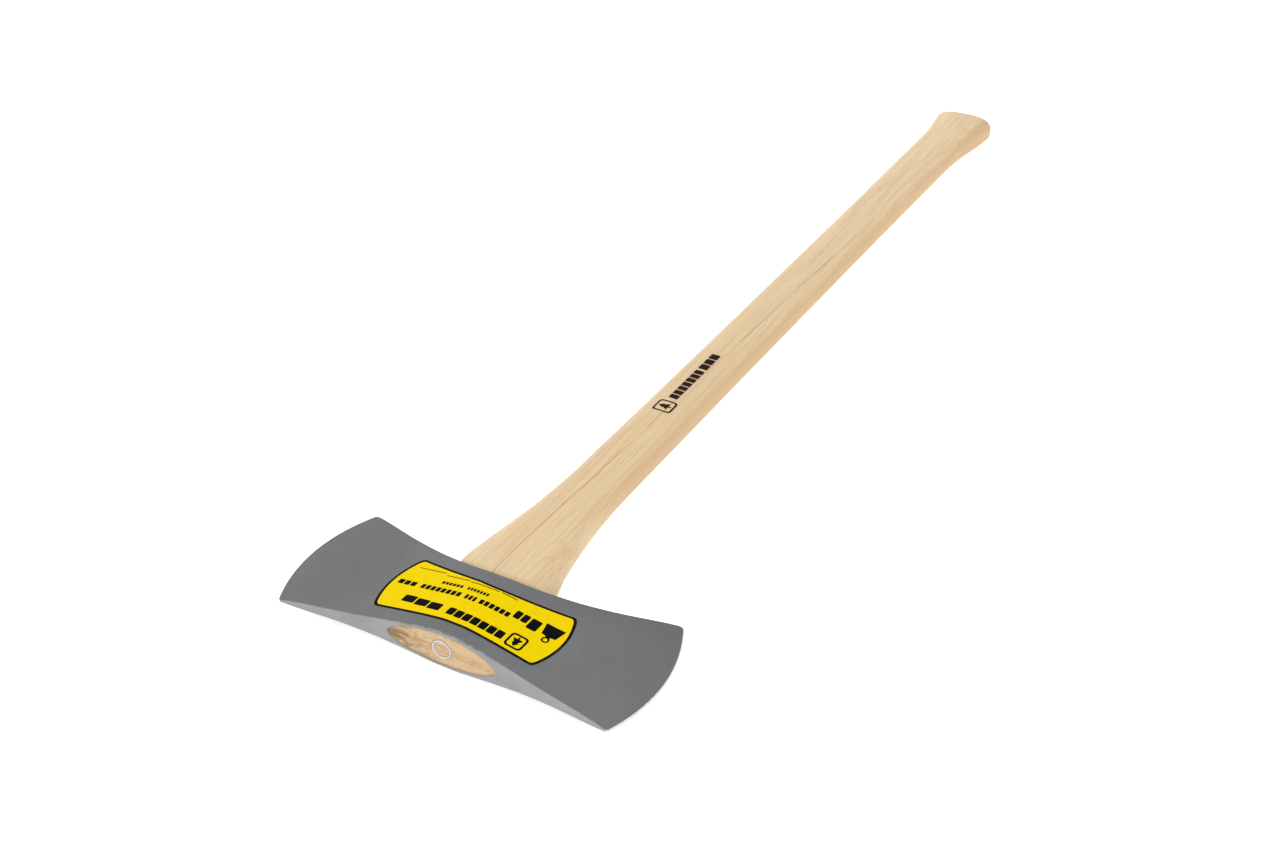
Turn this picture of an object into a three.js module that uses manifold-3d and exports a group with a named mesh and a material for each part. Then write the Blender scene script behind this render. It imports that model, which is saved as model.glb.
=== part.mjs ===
// Double-bit (Michigan pattern) felling axe, lying on one cheek.
// Millimetres. +Z up, +Y from the head towards the butt of the handle, X from bit to bit.
// Origin: centre of the underside of the bounding box.
//
// The shape functions work in tool axes: X from bit to bit, Y = 0 at the top of the eye and
// growing towards the butt, Z = 0 on the mid-plane between the two cheeks. The exported group
// carries the shift from tool axes to the resting frame.

import * as THREE from 'three';
import { mergeVertices } from 'three/addons/utils/BufferGeometryUtils.js';
import Module from 'manifold-3d';

const wasm = await Module();
wasm.setup();

// ---------------------------------------------------------------- driving dimensions

const FIT_GAP = 0.3;              // clearance kept between neighbouring solids

// Head, forged steel. Each bit has a corner on the eye-top side and one on the handle side.
const HEAD_HALF = 118.5;          // mean half length at the corners
const NEAR_HALF = 119.8;          // half length at the corners on the eye-top side
const FAR_HALF = 117.2;           // half length at the corners on the handle side
const BIT_BULGE = 12;             // how far each cutting edge arcs out past its corners
const BULGE_POWER = 6;            // keeps the bulge close to the cutting edge
const EYE_HEIGHT = 64.2;          // head height on the centre line
const NEAR_FLARE = 11.6;          // rise of the bit corners on the eye-top side
const NEAR_BEND = 90;             // radius at the middle, before the side straightens out
const FAR_FLARE = 25.6;           // rise of the bit corners on the handle side
const FAR_BEND = 50;
// Half thickness of the head at a fraction of the way from the middle to a cutting edge.
const CHEEK = [[0, 14.5], [0.05, 14.5], [0.12, 13.6], [0.3, 10.2], [0.47, 6.9], [0.65, 4.5], [0.9, 2.3],
  [1, 0.8]];
const HEAD_COLUMNS = 40;
const HEAD_ROWS = 8;

// Eye: an oval hole, widest at its mouth and waisted half way through. Depth, half length, half thickness.
const EYE_X = -3;                 // the eye stands a little nearer to one bit
const EYE_RUN_OUT = 15;           // how far the cutting shape runs past each mouth
const EYE_LENGTH = [[0, 39.3], [12, 37.9], [35, 36.3], [EYE_HEIGHT, 36.8]];
const EYE_THICKNESS = [[0, 11.7], [12, 10.6], [35, 9.7], [EYE_HEIGHT, 11]];
const EYE_POWER = 1.08;           // exponent that narrows the oval's ends
const EYE_STATIONS = [6, 12, 23, 35, 45, 55];       // depths where its wall is faceted, besides its mouths

// Handle, hickory, 36 inches long. Half width and half thickness along its length.
const HANDLE_LENGTH = 914;
const SHOULDER = EYE_HEIGHT + FIT_GAP;     // where the wood meets the handle side of the head
const LAST_TONGUE_DEPTH = EYE_HEIGHT - 2;  // last ring of the tongue inside the eye
const BODY_START = SHOULDER + 3;           // the tongue widens to the shoulder over a 3 mm ledge
const BODY_WIDTH = [[BODY_START, 36.9], [72, 37.7], [77, 36.3], [94, 32.2], [110, 29.3], [135, 25.2],
  [165, 22.1], [195, 20.7], [450, 20.2], [620, 20.5], [820, 21.8], [860, 23], [885, 25.5], [905, 28.2],
  [HANDLE_LENGTH, 29]];
const BODY_THICKNESS = [[BODY_START, 13.2], [85, 13.7], [120, 14], [820, 14], [880, 14.3],
  [HANDLE_LENGTH, 14.5]];
const BODY_STATIONS = [BODY_START, 73, 80, 87, 95, 102, 110, 122, 135, 150, 165, 180, 195, 320, 450, 570,
  700, 820, 845, 860, 873, 885, 896];
const BODY_POWER = 0.82;          // exponent that squares the handle's oval section slightly
const BUTT_POWER = 0.7;           // the same at the butt, which is squarer
const TOP_CURVE_DEPTH = 20;       // the curve of the head's top has faded out of the tongue here
const SHOULDER_CURVE_DEPTH = 40;  // and the curve of its handle side starts to show here
const NECK_LENGTH = 60;           // over which the shoulder's curve straightens out
const BUTT_ROUND = 3;             // rounding of the edge of the butt
const SECTION_POINTS = 36;

// Hang: the handle is straight, but set slightly out of square with the head.
const HANG_SLOPE = 0.0195;        // sideways drift per length
const HANG_CROSSING = 357;        // where its line crosses the middle of the head
const HANG_START = 50;            // the wood leaves the line of the eye here
const HANG_END = 110;             // and is on the line of the handle here
const SWELL_SHIFT = 2.2;          // the swell of the butt stands out more on one side
const SWELL_START = 820;
const SWELL_END = 895;

// Wedges
const TONGUE_RECESS = 0.4;        // end grain below the top of the eye
const KERF_DEPTH = 46;
const KERF_TOP = 2.6;             // half width of the saw kerf once the wedge has spread it
const KERF_BOTTOM = 0.8;
const CUT_OVERRUN = 20;           // how far a cutting shape stands out of the wood
const WEDGE_END_GAP = 1.6;        // the wedge stops this far short of each end of the eye
const WEDGE_DEPTH = 42;
const RING_OUTER = 7.2;           // radii of the round steel wedge
const RING_WALL = 1.5;
const RING_DEPTH = 13;
const RING_TAPER = 5;             // length of its sharpened end
const RING_EDGE = 0.3;            // half thickness left at the sharpened end
const RING_PROUD = 0.5;           // stands above the end grain
const RING_SEGMENTS = 36;

// Label on the upper cheek: straight on the eye-top side, bowed on the other three
const LABEL_X = -0.6;             // its middle
const LABEL_HALF = 59.7;          // half length at its corners
const LABEL_NEAR = 7.5;
const LABEL_FAR = 52;
const LABEL_FAR_BOW = 7.3;        // the far side stands this much further out at its corners
const LABEL_END_BULGE = 6.3;
const LABEL_CORNER = 4;
const LABEL_THICKNESS = 0.3;
const LABEL_STEPS = 12;           // straight pieces along its bowed far side

// ---------------------------------------------------------------- materials

const paintedSteel = new THREE.MeshStandardMaterial({ color: 0x77797b, roughness: 0.5, metalness: 0.35 });
const hickory = new THREE.MeshStandardMaterial({ color: 0xe2c79b, roughness: 0.55, metalness: 0 });
const wedgeWood = new THREE.MeshStandardMaterial({ color: 0xc99c66, roughness: 0.7, metalness: 0 });
const brightSteel = new THREE.MeshStandardMaterial({ color: 0xc9cccd, roughness: 0.3, metalness: 0.9 });
const labelVinyl = new THREE.MeshStandardMaterial({ color: 0xffe000, roughness: 0.4, metalness: 0 });

// ---------------------------------------------------------------- small tools

// Smooth curve through [position, value] stations, level beyond its ends.
function profile(stations) {
  const last = stations.length - 1;
  const chord = (i) => (stations[i + 1][1] - stations[i][1]) / (stations[i + 1][0] - stations[i][0]);
  const slope = stations.map((station, i) => {
    if (i === 0) return chord(0);
    if (i === last) return chord(last - 1);
    const before = chord(i - 1);
    const after = chord(i);
    return before * after <= 0 ? 0 : (2 * before * after) / (before + after);
  });
  return (position) => {
    if (position <= stations[0][0]) return stations[0][1];
    if (position >= stations[last][0]) return stations[last][1];
    const i = stations.findIndex((station) => station[0] > position) - 1;
    const [start, value] = stations[i];
    const [end, nextValue] = stations[i + 1];
    const span = end - start;
    const t = (position - start) / span;
    const rise = t * t * (3 - 2 * t);
    const leaving = t * (1 - t) ** 2 * span * slope[i];
    const arriving = t * t * (t - 1) * span * slope[i + 1];
    return value + (nextValue - value) * rise + leaving + arriving;
  };
}

function smoothStep(low, high, value) {
  return THREE.MathUtils.smoothstep(value, low, high);
}

function signedPower(value, power) {
  return Math.sign(value) * Math.abs(value) ** power;
}

// Geometry from vertices and triangles, turned so that its faces point out.
function closedGeometry(vertices, triangles) {
  let volume = 0;
  for (const [a, b, c] of triangles) {
    volume += vertices[a].dot(vertices[b].clone().cross(vertices[c]));
  }
  const outward = volume > 0 ? triangles : triangles.map(([a, b, c]) => [a, c, b]);
  const geometry = new THREE.BufferGeometry().setFromPoints(vertices);
  geometry.setIndex(outward.flat());
  return geometry;
}

// Closed solid through rings of points, with a flat fan over each end.
function loft(rings) {
  const count = rings[0].length;
  const vertices = rings.flat();
  const triangles = [];
  for (let ring = 0; ring < rings.length - 1; ring += 1) {
    for (let i = 0; i < count; i += 1) {
      const a = ring * count + i;
      const b = ring * count + ((i + 1) % count);
      triangles.push([a, b, b + count], [a, b + count, a + count]);
    }
  }
  for (const [ring, flip] of [[0, true], [rings.length - 1, false]]) {
    const centre = new THREE.Vector3();
    rings[ring].forEach((point) => centre.addScaledVector(point, 1 / count));
    vertices.push(centre);
    const hub = vertices.length - 1;
    for (let i = 0; i < count; i += 1) {
      const a = ring * count + i;
      const b = ring * count + ((i + 1) % count);
      triangles.push(flip ? [b, a, hub] : [a, b, hub]);
    }
  }
  return closedGeometry(vertices, triangles);
}

// Closed solid between an upper and a lower sheet, each a grid of points.
function slab(upper, lower) {
  const columns = upper.length - 1;
  const rows = upper[0].length - 1;
  const stride = rows + 1;
  const offset = (columns + 1) * stride;
  const vertices = [...upper.flat(), ...lower.flat()];
  const triangles = [];
  const index = (i, j) => i * stride + j;
  for (let i = 0; i < columns; i += 1) {
    for (let j = 0; j < rows; j += 1) {
      const [a, b, c, d] = [index(i, j), index(i + 1, j), index(i + 1, j + 1), index(i, j + 1)];
      triangles.push([a, b, c], [a, c, d]);
      triangles.push([offset + a, offset + c, offset + b], [offset + a, offset + d, offset + c]);
    }
  }
  const rim = [];
  for (let i = 0; i < columns; i += 1) rim.push(index(i, 0));
  for (let j = 0; j < rows; j += 1) rim.push(index(columns, j));
  for (let i = columns; i > 0; i -= 1) rim.push(index(i, rows));
  for (let j = rows; j > 0; j -= 1) rim.push(index(0, j));
  rim.forEach((a, i) => {
    const b = rim[(i + 1) % rim.length];
    triangles.push([a, offset + b, b], [a, offset + a, offset + b]);
  });
  return closedGeometry(vertices, triangles);
}

function toManifold(geometry) {
  const bare = geometry.clone();
  bare.deleteAttribute('normal');
  bare.deleteAttribute('uv');
  const merged = mergeVertices(bare);
  return new wasm.Manifold(new wasm.Mesh({
    numProp: 3,
    vertProperties: new Float32Array(merged.attributes.position.array),
    triVerts: new Uint32Array(merged.index.array),
  }));
}

function fromManifold(manifold) {
  const mesh = manifold.getMesh();
  const geometry = new THREE.BufferGeometry();
  geometry.setAttribute('position', new THREE.BufferAttribute(mesh.vertProperties, 3));
  geometry.setIndex(new THREE.BufferAttribute(mesh.triVerts, 1));
  return geometry;
}

function namedMesh(name, geometry, material) {
  const mesh = new THREE.Mesh(geometry, material);
  mesh.name = name;
  geometry.computeVertexNormals();
  return mesh;
}

// ---------------------------------------------------------------- shape of the head

const cheekAt = profile(CHEEK);
const eyeLengthAt = profile(EYE_LENGTH);
const eyeThicknessAt = profile(EYE_THICKNESS);

// Hyperbola from 0 in the middle to 1 at the corners: round at first, then nearly straight.
const waist = (x, bend) => (Math.hypot(x, bend) - bend) / (Math.hypot(HEAD_HALF, bend) - bend);
const nearRise = (x) => NEAR_FLARE * waist(x, NEAR_BEND);
const farRise = (x) => FAR_FLARE * waist(x, FAR_BEND);

// Point of the head at u (-1 to 1, bit to bit) and v (0 to 1, eye top to handle side).
function headPoint(u, v, side, lift = 0) {
  const straight = u * THREE.MathUtils.lerp(NEAR_HALF, FAR_HALF, v);
  const bulge = BIT_BULGE * (1 - (2 * v - 1) ** 2) * Math.abs(u) ** BULGE_POWER;
  const low = -nearRise(u * HEAD_HALF);
  const high = EYE_HEIGHT + farRise(u * HEAD_HALF);
  const z = side * (cheekAt(Math.abs(u)) + lift);
  return new THREE.Vector3(straight + Math.sign(u) * bulge, low + v * (high - low), z);
}

// Sheet of head points, one side, lifted off the steel by a distance.
function cheekSheet(side, lift) {
  return Array.from({ length: HEAD_COLUMNS + 1 }, (_, i) => {
    const u = headColumn(i);
    return Array.from({ length: HEAD_ROWS + 1 }, (__, j) => headPoint(u, j / HEAD_ROWS, side, lift));
  });
}

// Even columns, with one at each edge of the flat strip down the middle of the cheek.
function headColumn(i) {
  const half = HEAD_COLUMNS / 2;
  const step = Math.abs(i - half);
  const flat = CHEEK[1][0];
  const u = step === 0 ? 0 : flat + (1 - flat) * ((step - 1) / (half - 1));
  return Math.sign(i - half) * u;
}

// Ring of an oval that fits the eye, less a clearance.
function eyeRing(depth, clearance, bend) {
  const halfLength = eyeLengthAt(depth) - clearance;
  const halfThickness = eyeThicknessAt(depth) - clearance;
  return sectionRing(EYE_X, halfLength, halfThickness, 1, EYE_POWER, (x) => depth + bend(x));
}

function sectionRing(centreX, halfWidth, halfThickness, powerX, powerZ, yAt) {
  return Array.from({ length: SECTION_POINTS }, (_, i) => {
    const angle = (2 * Math.PI * i) / SECTION_POINTS;
    const x = centreX + halfWidth * signedPower(Math.cos(angle), powerX);
    const z = halfThickness * signedPower(Math.sin(angle), powerZ);
    return new THREE.Vector3(x, yAt(x), z);
  });
}

function buildHead() {
  const body = toManifold(slab(cheekSheet(1, 0), cheekSheet(-1, 0)));
  const depths = [-EYE_RUN_OUT, 0, ...EYE_STATIONS, EYE_HEIGHT, EYE_HEIGHT + EYE_RUN_OUT];
  const eye = toManifold(loft(depths.map((depth) => eyeRing(depth, 0, () => 0))));
  return fromManifold(body.subtract(eye));
}

// ---------------------------------------------------------------- handle and wedges

const bodyWidthAt = profile(BODY_WIDTH);
const bodyThicknessAt = profile(BODY_THICKNESS);

// The tongue's end follows the top of the head, and the shoulder follows its handle side.
function tongueBend(depth) {
  const nearShare = 1 - smoothStep(0, TOP_CURVE_DEPTH, depth);
  const farShare = smoothStep(SHOULDER_CURVE_DEPTH, LAST_TONGUE_DEPTH, depth);
  return (x) => farShare * farRise(x) - nearShare * nearRise(x);
}

function tongueRings() {
  const depths = [TONGUE_RECESS, ...EYE_STATIONS, LAST_TONGUE_DEPTH, SHOULDER];
  return depths.map((depth) => eyeRing(depth, FIT_GAP, tongueBend(depth)));
}

// Middle of the handle's section: in line with the eye at first, then on the line of the hang.
function centreAt(y) {
  const hung = HANG_SLOPE * (y - HANG_CROSSING) + SWELL_SHIFT * smoothStep(SWELL_START, SWELL_END, y);
  return THREE.MathUtils.lerp(EYE_X, hung, smoothStep(HANG_START, HANG_END, y));
}

function bodyRing(y, inset = 0) {
  const straighten = 1 - smoothStep(BODY_START, BODY_START + NECK_LENGTH, y);
  const halfWidth = bodyWidthAt(y) - inset;
  const halfThickness = bodyThicknessAt(y) - inset;
  const power = THREE.MathUtils.lerp(BODY_POWER, BUTT_POWER, smoothStep(SWELL_START, SWELL_END, y));
  const powerZ = THREE.MathUtils.lerp(power, 1, straighten);
  const yAt = (x) => y + straighten * farRise(x);
  return sectionRing(centreAt(y), halfWidth, halfThickness, power, powerZ, yAt);
}

function bodyRings() {
  const rings = [...BODY_STATIONS, HANDLE_LENGTH - BUTT_ROUND].map((y) => bodyRing(y));
  for (const turn of [Math.PI / 6, Math.PI / 3, Math.PI / 2]) {
    const y = HANDLE_LENGTH - BUTT_ROUND * (1 - Math.sin(turn));
    rings.push(bodyRing(y, BUTT_ROUND * (1 - Math.cos(turn))));
  }
  return rings;
}

// Half width of the kerf, which narrows evenly with depth.
function kerfHalfAt(depth) {
  return KERF_TOP + (KERF_BOTTOM - KERF_TOP) * (depth / KERF_DEPTH);
}

// Blade through depths of the kerf, thinner by a clearance on both faces.
function kerfBlade(depths, halfLengthAt, clearance) {
  const rings = depths.map((y) => {
    const x = halfLengthAt(y);
    const z = kerfHalfAt(y) - clearance;
    const corners = [[-x, -z], [x, -z], [x, z], [-x, z]];
    return corners.map(([across, height]) => new THREE.Vector3(EYE_X + across, y, height));
  });
  return toManifold(loft(rings));
}

// Round steel wedge, or the groove it sits in when a clearance is given.
function ringSolid(clearance, top) {
  const outer = RING_OUTER + clearance;
  const inner = RING_OUTER - RING_WALL - clearance;
  const bottom = RING_DEPTH + clearance;
  const taperStart = bottom - RING_TAPER;
  const middle = (outer + inner) / 2;
  const edge = RING_EDGE + clearance;
  const outline = [
    [inner, top], [outer, top], [outer, taperStart], [middle + edge, bottom], [middle - edge, bottom],
    [inner, taperStart], [inner, top],
  ].map(([radius, y]) => new THREE.Vector2(radius, y));
  return new THREE.LatheGeometry(outline, RING_SEGMENTS).translate(EYE_X, 0, 0);
}

const ringTop = TONGUE_RECESS - RING_PROUD;
const ringGroove = () => toManifold(ringSolid(FIT_GAP, -CUT_OVERRUN));

function buildHandle() {
  const blank = toManifold(loft([...tongueRings(), ...bodyRings()]));
  const kerf = kerfBlade([-CUT_OVERRUN, KERF_DEPTH], () => EYE_LENGTH[0][1] + CUT_OVERRUN, 0);
  return fromManifold(blank.subtract(kerf).subtract(ringGroove()));
}

function buildWoodWedge() {
  const depths = [TONGUE_RECESS, ...EYE_STATIONS.filter((depth) => depth < WEDGE_DEPTH), WEDGE_DEPTH];
  const blade = kerfBlade(depths, (y) => eyeLengthAt(y) - WEDGE_END_GAP, FIT_GAP);
  return fromManifold(blade.subtract(ringGroove()));
}

// ---------------------------------------------------------------- label

// Outline of the label seen from above.
function labelShape() {
  const left = LABEL_X - LABEL_HALF;
  const right = LABEL_X + LABEL_HALF;
  const far = (x) => LABEL_FAR + LABEL_FAR_BOW * ((x - LABEL_X) / LABEL_HALF) ** 2;
  const startX = left + LABEL_CORNER;
  const endX = right - LABEL_CORNER;
  const shape = new THREE.Shape();
  shape.moveTo(startX, LABEL_NEAR);
  shape.lineTo(endX, LABEL_NEAR);
  labelEnd(shape, right, 1, LABEL_NEAR, far(right), endX, far(endX));
  for (let i = 1; i <= LABEL_STEPS; i += 1) {
    const x = THREE.MathUtils.lerp(endX, startX, i / LABEL_STEPS);
    shape.lineTo(x, far(x));
  }
  labelEnd(shape, left, -1, far(left), LABEL_NEAR, startX, LABEL_NEAR);
  return shape;
}

// One bulging end from the current point to (lastX, lastY). Its corners are rounded without a kink.
function labelEnd(shape, cornerX, outward, fromY, toY, lastX, lastY) {
  const turn = Math.sign(toY - fromY);
  const bulgeX = cornerX + 2 * outward * LABEL_END_BULGE;
  const slope = 2 * LABEL_END_BULGE / (Math.abs(toY - fromY) / 2 - LABEL_CORNER);
  const pulledX = cornerX - outward * slope * LABEL_CORNER;
  shape.quadraticCurveTo(pulledX, fromY, cornerX, fromY + turn * LABEL_CORNER);
  shape.quadraticCurveTo(bulgeX, (fromY + toY) / 2, cornerX, toY - turn * LABEL_CORNER);
  shape.quadraticCurveTo(pulledX, toY, lastX, lastY);
}

function buildLabel() {
  const skin = toManifold(slab(cheekSheet(1, FIT_GAP + LABEL_THICKNESS), cheekSheet(1, FIT_GAP)));
  const depth = 2 * CHEEK[0][1];
  const prism = new THREE.ExtrudeGeometry(labelShape(), { depth, bevelEnabled: false, curveSegments: 8 });
  return fromManifold(skin.intersect(toManifold(prism)));
}

// ---------------------------------------------------------------- assembly

const axe = new THREE.Group();
axe.name = 'double_bit_axe';
axe.add(
  namedMesh('axe_head', buildHead(), paintedSteel),
  namedMesh('handle', buildHandle(), hickory),
  namedMesh('wood_wedge', buildWoodWedge(), wedgeWood),
  namedMesh('ring_wedge', ringSolid(0, ringTop), brightSteel),
  namedMesh('face_label', buildLabel(), labelVinyl),
);

const axeLength = HANDLE_LENGTH + NEAR_FLARE;
axe.position.set(0, NEAR_FLARE - axeLength / 2, CHEEK[0][1]);

export default axe;
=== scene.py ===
"""Looks of a double-bit felling axe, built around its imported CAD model.

Shapes are worked out in tool axes, in millimetres, and placed in the frame in metres:
X runs from bit to bit, Y = 0 at the top of the eye and grows towards the butt of the
handle, and Z = 0 on the mid-plane between the two cheeks.
"""
import math

import bmesh
import bpy
from mathutils import Matrix, Vector, geometry, noise


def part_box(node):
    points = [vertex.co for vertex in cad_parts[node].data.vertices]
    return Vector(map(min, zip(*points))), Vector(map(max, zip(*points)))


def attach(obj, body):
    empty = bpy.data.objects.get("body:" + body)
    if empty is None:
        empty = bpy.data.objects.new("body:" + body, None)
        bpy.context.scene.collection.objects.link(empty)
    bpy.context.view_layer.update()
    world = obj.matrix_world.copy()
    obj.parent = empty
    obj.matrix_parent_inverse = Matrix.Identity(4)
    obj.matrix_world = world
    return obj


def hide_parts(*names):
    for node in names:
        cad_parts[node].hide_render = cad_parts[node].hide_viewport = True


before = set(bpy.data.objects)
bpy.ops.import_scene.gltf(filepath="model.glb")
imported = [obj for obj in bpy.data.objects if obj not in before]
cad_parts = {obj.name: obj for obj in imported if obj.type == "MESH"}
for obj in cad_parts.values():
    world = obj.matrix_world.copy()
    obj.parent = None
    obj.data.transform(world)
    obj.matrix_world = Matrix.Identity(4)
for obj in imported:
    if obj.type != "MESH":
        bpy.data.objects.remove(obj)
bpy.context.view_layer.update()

MM = 0.001

# ---------------------------------------- driving dimensions, mm

# Head. Each bit has a corner on the eye-top (near) side and one on the handle (far) side.
HEAD_HALF = 118.5
NEAR_HALF = 119.8
FAR_HALF = 117.2
BIT_BULGE = 12
BULGE_POWER = 6
EYE_HEIGHT = 64.2
NEAR_FLARE = 11.6
NEAR_BEND = 90
FAR_FLARE = 25.6
FAR_BEND = 50
BIT_HEIGHT = EYE_HEIGHT + NEAR_FLARE + FAR_FLARE
NEAR_CORNER_ROUND = 0.8
FAR_CORNER_ROUND = 2.4
RIM_AT_EYE = 1.9
RIM_AT_BITS = 0.4
RIM_EVEN_FROM = 0.6
EYE_CHAMFER = 0.3
GROUND_WIDTH = 0.55
EDGE_HALF_THICKNESS = 0.07
# Half thickness of the head at a fraction of the way from the middle to a cutting edge
CHEEK = [(0, 14.5), (0.05, 14.5), (0.12, 13.6), (0.3, 10.2), (0.47, 6.9), (0.65, 4.5), (0.9, 2.3), (1, 0.8)]
# Eye: depth with half length, and depth with half thickness
EYE_X = -3
EYE_LENGTH = [(0, 39.3), (12, 37.9), (35, 36.3), (EYE_HEIGHT, 36.8)]
EYE_THICKNESS = [(0, 11.7), (12, 10.6), (35, 9.7), (EYE_HEIGHT, 11)]
EYE_POWER = 1.08

# Handle
HANDLE_LENGTH = 914
SHOULDER = 64.5
BODY_START = 67.5
GRIP_START = 221.5
GRIP_END = 800
BODY_WIDTH = [(BODY_START, 35.9), (76, 35.6), (81, 35), (94, 32.2), (110, 29.3), (135, 25.2), (165, 22.1),
              (195, 20.7), (450, 20.2), (620, 20.5), (820, 21.8), (860, 23), (885, 25.5), (905, 28.2),
              (HANDLE_LENGTH, 29)]
BODY_THICKNESS = [(BODY_START, 13.2), (85, 13.7), (120, 14), (820, 14), (880, 14.3), (HANDLE_LENGTH, 14.5)]
BODY_POWER = 0.82
BUTT_POWER = 0.7
NECK_LENGTH = 60
BUTT_ROUND = 3
TONGUE_FIT = 0.05
TONGUE_RECESS = 0.4
TOP_CURVE_DEPTH = 20
SHOULDER_CURVE_DEPTH = 40
LAST_TONGUE_DEPTH = EYE_HEIGHT - 2

# Hang: the handle is straight but set slightly out of square with the head
HANG_SLOPE = 0.0195
HANG_CROSSING = 357
HANG_START = 50
HANG_END = 110
SWELL_SHIFT = 2.2
SWELL_START = 820
SWELL_END = 895

# Wedges
KERF_DEPTH = 46
KERF_TOP = 2.6
KERF_BOTTOM = 0.8
CUT_OVERRUN = 20
WEDGE_END_FIT = 0.1
WEDGE_DEPTH = 42
WEDGE_FIT = 0.08
RING_OUTER = 7.2
RING_WALL = 1.5
RING_DEPTH = 13
RING_TAPER = 5
RING_EDGE = 0.1
RING_ROUND = 0.35
TUBE_STEPS = 96
RING_PROUD = 0.5

# Label: bowed on all four sides, and leaning a little
LABEL_X = -0.4
LABEL_HALF = 60
LABEL_NEAR = 9.9
LABEL_FAR = 52
LABEL_NEAR_BOW = 1.8
LABEL_FAR_BOW = 8.2
LABEL_FAR_MIDDLE = 5
LABEL_FAR_POWER = 1.5
LABEL_END_BULGE = 4.2
LABEL_CORNER = 4
LABEL_BORDER = 1.7
LABEL_LEAN = 0.045
LABEL_TOP = 0.16
LABEL_BASE = 0.02
LABEL_SPACING = 3
# What is printed on it: a market weight, a tree in a frame, and rows of blocks
WEIGHT_X = 52
WEIGHT_Y = 36.4
WEIGHT_SIZE = 15.5
BADGE_X = 39.5
BADGE_Y = 19.4
BADGE_HALF_LENGTH = 6
BADGE_HALF_HEIGHT = 6.2
BADGE_LINE = 1.5
BADGE_ROUND = 2.6
TITLE_LOW = 15.2
TITLE_BOW = 3.2
TITLE_HEIGHT = 6.6
SECOND_LOW = 33.3
SECOND_HEIGHT = 4.4
THIRD_LOW = 41.6
THIRD_HEIGHT = 2.7
FINE_LOW = 48.9
FINE_HEIGHT = 0.7

# Figure in the grain of the shoulder
FIGURE_X = 23
FIGURE_Y = 70
FIGURE_HALF_WIDTH = 26
FIGURE_HALF_LENGTH = 105
FIGURE_HEIGHT = 14

# Stamp on the handle, measured across from the handle's own line
STAMP_ACROSS = 0.5
STAMP_START = 279.5
STAMP_BOX = 15
STAMP_LINE = 1.5
STAMP_HALF_WIDTH = 3.7
STAMP_LIFT = 0.03
STAMP_THICKNESS = 0.02
STAMP_SPACING = 1.6

# ---------------------------------------- frame

head_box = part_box("axe_head")
MID_PLANE = (head_box[0].z + head_box[1].z) / 2
EYE_TOP_Y = head_box[0].y + NEAR_FLARE * MM


def place(x, y, z):
    """Tool axes in mm to the row frame in metres."""
    return Vector((x * MM, EYE_TOP_Y + y * MM, MID_PLANE + z * MM))


def add_object(name, data):
    made = bpy.data.objects.new(name, data)
    bpy.context.scene.collection.objects.link(made)
    return made


# ---------------------------------------- camera

CAMERA_PLACE = place(450.82, -590.66, 662.59)
CAMERA_AZIMUTH = 28.543
CAMERA_ELEVATION = 33.918
CAMERA_ROLL = 0.356
CAMERA_LENS = 45.69
SENSOR_WIDTH = 36


def make_camera():
    azimuth = math.radians(CAMERA_AZIMUTH)
    elevation = math.radians(CAMERA_ELEVATION)
    roll = math.radians(CAMERA_ROLL)
    back = Vector((math.sin(azimuth) * math.cos(elevation), -math.cos(azimuth) * math.cos(elevation),
                   math.sin(elevation)))
    level = Vector((math.cos(azimuth), math.sin(azimuth), 0))
    upright = back.cross(level)
    right = level * math.cos(roll) + upright * math.sin(roll)
    up = back.cross(right)
    data = bpy.data.cameras.new("camera")
    data.lens = CAMERA_LENS
    data.sensor_width = SENSOR_WIDTH
    data.clip_start = 0.01
    camera = add_object("camera", data)
    turn = Matrix((right, up, back)).transposed().to_4x4()
    camera.matrix_world = Matrix.Translation(CAMERA_PLACE) @ turn
    bpy.context.scene.camera = camera


make_camera()

# ---------------------------------------- small tools


def profile(stations):
    """Smooth curve through (position, value) stations, level beyond its ends."""
    chords = [(b[1] - a[1]) / (b[0] - a[0]) for a, b in zip(stations, stations[1:])]
    slopes = [chords[0]]
    for before, after in zip(chords, chords[1:]):
        turning = before * after <= 0
        slopes.append(0 if turning else 2 * before * after / (before + after))
    slopes.append(chords[-1])

    def value_at(position):
        if position <= stations[0][0]:
            return stations[0][1]
        if position >= stations[-1][0]:
            return stations[-1][1]
        i = next(k for k, station in enumerate(stations) if station[0] > position) - 1
        start, value = stations[i]
        end, next_value = stations[i + 1]
        span = end - start
        t = (position - start) / span
        leaving = t * (1 - t) ** 2 * span * slopes[i]
        arriving = t * t * (t - 1) * span * slopes[i + 1]
        return value + (next_value - value) * t * t * (3 - 2 * t) + leaving + arriving

    return value_at


def smooth_step(low, high, value):
    t = min(1, max(0, (value - low) / (high - low)))
    return t * t * (3 - 2 * t)


def blend(first, second, share):
    return first + (second - first) * share


def signed_power(value, power):
    return math.copysign(abs(value) ** power, value)


def spread(low, high, steps):
    """Evenly spaced values from low to high, both included."""
    return [low + (high - low) * i / steps for i in range(steps + 1)]


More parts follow.
